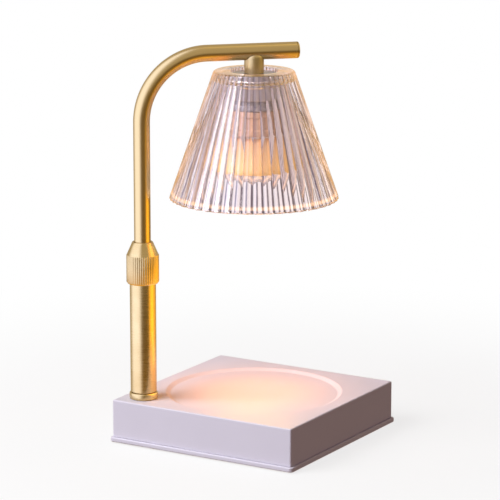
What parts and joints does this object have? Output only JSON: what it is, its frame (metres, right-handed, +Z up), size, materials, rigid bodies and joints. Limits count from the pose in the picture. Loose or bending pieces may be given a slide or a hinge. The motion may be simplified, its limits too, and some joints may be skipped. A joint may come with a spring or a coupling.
{
  "type": "candle warmer lamp",
  "caption": "Table warmer lamp: reeded glass cone shade and reflector bulb on a bent brass arm that telescopes and swivels in a post on a square base.",
  "frame": {"origin": "middle of the square base, on the surface that the rubber feet stand on", "axes": "+Z up; the base's sides face X and Y; the post stands near the (-X, -Y) corner and the arm reaches along the diagonal over the base's middle"},
  "size_m": [0.1538, 0.1538, 0.2897],
  "materials": {
    "paint": "satin off-white paint",
    "brass": "brushed satin brass",
    "steel": "zinc plated",
    "shade_glass": "clear pressed glass with a faint rose tint",
    "bulb_glass": "clear lit glass",
    "mirror": "bright coated reflector",
    "ceramic": "white ceramic",
    "dark_ceramic": "dark grey moulding",
    "dark_plastic": "black moulding",
    "rubber": "matt",
    "sheath": "soft sheath"
  },
  "bodies": {
    "base": {"base_housing": "paint", "base_plate": "paint", "ballast_plate": "steel", "base_screw_1": "steel", "base_screw_2": "steel", "base_screw_3": "steel", "base_screw_4": "steel", "ballast_screw_1": "steel", "ballast_screw_2": "steel", "foot_pad_1": "rubber", "foot_pad_2": "rubber", "foot_pad_3": "rubber", "foot_pad_4": "rubber", "terminal_block": "ceramic", "terminal_screw_1": "steel", "terminal_screw_2": "steel", "cord_gland": "dark_plastic", "gland_nut": "dark_plastic", "post_tube": "brass", "post_foot_ring": "brass", "post_washer": "steel", "post_lock_nut": "steel", "base_lead": "sheath"},
    "collet": {"clamp_collet": "dark_plastic"},
    "nut": {"clamp_nut": "brass"},
    "carrier": {"guide_bush": "dark_plastic", "post_lead": "sheath"},
    "arm": {"arm_tube": "brass", "arm_end_cap": "brass", "retaining_ring": "steel", "arm_lead": "sheath", "neck": "brass", "neck_nipple": "steel", "nipple_nut": "steel", "holder_cup": "steel", "shade": "shade_glass", "shade_ring": "steel", "lamp_holder": "dark_ceramic", "holder_screw_1": "steel", "holder_screw_2": "steel"},
    "bulb": {"bulb_base": "ceramic", "bulb_pin_1": "steel", "bulb_pin_2": "steel", "bulb_reflector": "mirror", "bulb_lens": "bulb_glass", "bulb_capsule": "bulb_glass"}
  },
  "joints": [
    {"name": "height_slide", "type": "slide", "parent": "base", "child": "carrier", "axis": [0, 0, 1], "range_m": [-0.039, 0.03], "deforming": ["post_lead"]},
    {"name": "arm_swivel", "type": "hinge", "parent": "carrier", "child": "arm", "pos_m": [-0.0585, -0.0585, 0], "axis": [0, 0, 1], "range_deg": [-90, 90]},
    {"name": "clamp_travel", "type": "slide", "parent": "base", "child": "collet", "axis": [0, 0, 1], "range_m": [0, 0.001]},
    {"name": "clamp_turn", "type": "hinge", "parent": "collet", "child": "nut", "pos_m": [-0.0585, -0.0585, 0], "axis": [0, 0, 1], "range_deg": [0, 360]},
    {"name": "bulb_twist", "type": "hinge", "parent": "arm", "child": "bulb", "pos_m": [0, 0, 0], "axis": [0, 0, 1], "range_deg": [-25, 0]}
  ],
  "couplings": [
    {"joint": "clamp_turn", "follows": "clamp_travel", "rad_per_m": 6283.2}
  ]
}
